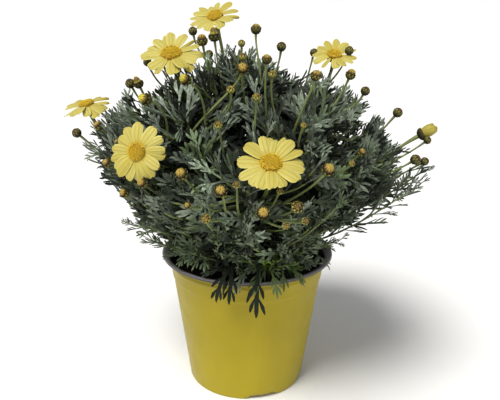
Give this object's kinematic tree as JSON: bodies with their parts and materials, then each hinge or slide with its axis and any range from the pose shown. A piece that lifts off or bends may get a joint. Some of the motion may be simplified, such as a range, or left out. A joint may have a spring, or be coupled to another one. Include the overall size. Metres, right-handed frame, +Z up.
{
  "type": "potted marguerite daisy",
  "caption": "Bushy marguerite daisy with yellow flowers and buds over a dome of lobed grey-green leaves, in soil in a yellow nursery pot.",
  "frame": {"origin": "on the floor, under the centre of the pot", "axes": "+Z up, +X to the right as seen from the front, +Y towards the back"},
  "size_m": [0.2423, 0.2256, 0.2649],
  "materials": {
    "pot_plastic": "satin",
    "soil": "matte",
    "stem": "matte",
    "stalk": "satin",
    "leaf": "matte",
    "petal": "matte",
    "disc": "matte",
    "bud": "satin"
  },
  "bodies": {
    "root": {"pot": "pot_plastic", "potting_soil": "soil", "woody_stems": "stem", "bud_01": "bud", "bud_02": "bud", "bud_03": "bud", "bud_04": "bud", "bud_05": "bud", "bud_06": "bud", "bud_07": "bud", "bud_08": "bud", "bud_09": "bud", "bud_10": "bud", "bud_11": "bud", "bud_12": "bud", "bud_13": "bud", "bud_14": "bud", "bud_15": "bud", "bud_16": "bud", "bud_17": "bud", "bud_18": "bud", "bud_19": "bud", "bud_20": "bud", "closed_flower_petals": "petal", "closed_flower_stalk": "stalk", "flower_1_disc": "disc", "flower_1_ray_petals": "petal", "flower_1_stalk": "stalk", "flower_2_disc": "disc", "flower_2_ray_petals": "petal", "flower_2_stalk": "stalk", "flower_3_disc": "disc", "flower_3_ray_petals": "petal", "flower_3_stalk": "stalk", "flower_4_disc": "disc", "flower_4_ray_petals": "petal", "flower_4_stalk": "stalk", "flower_5_disc": "disc", "flower_5_ray_petals": "petal", "flower_5_stalk": "stalk", "flower_6_disc": "disc", "flower_6_ray_petals": "petal", "flower_6_stalk": "stalk", "foliage_crown": "leaf", "foliage_shoulder_back_left": "leaf", "foliage_shoulder_back_right": "leaf", "foliage_shoulder_front_left": "leaf", "foliage_shoulder_front_right": "leaf", "foliage_skirt_back": "leaf", "foliage_skirt_front_left": "leaf", "foliage_skirt_front_right": "leaf", "foliage_skirt_left": "leaf", "foliage_skirt_right": "leaf", "foliage_waist_back": "leaf", "foliage_waist_back_left": "leaf", "foliage_waist_back_right": "leaf", "foliage_waist_front": "leaf", "foliage_waist_front_left": "leaf", "foliage_waist_front_right": "leaf"}
  },
  "joints": []
}
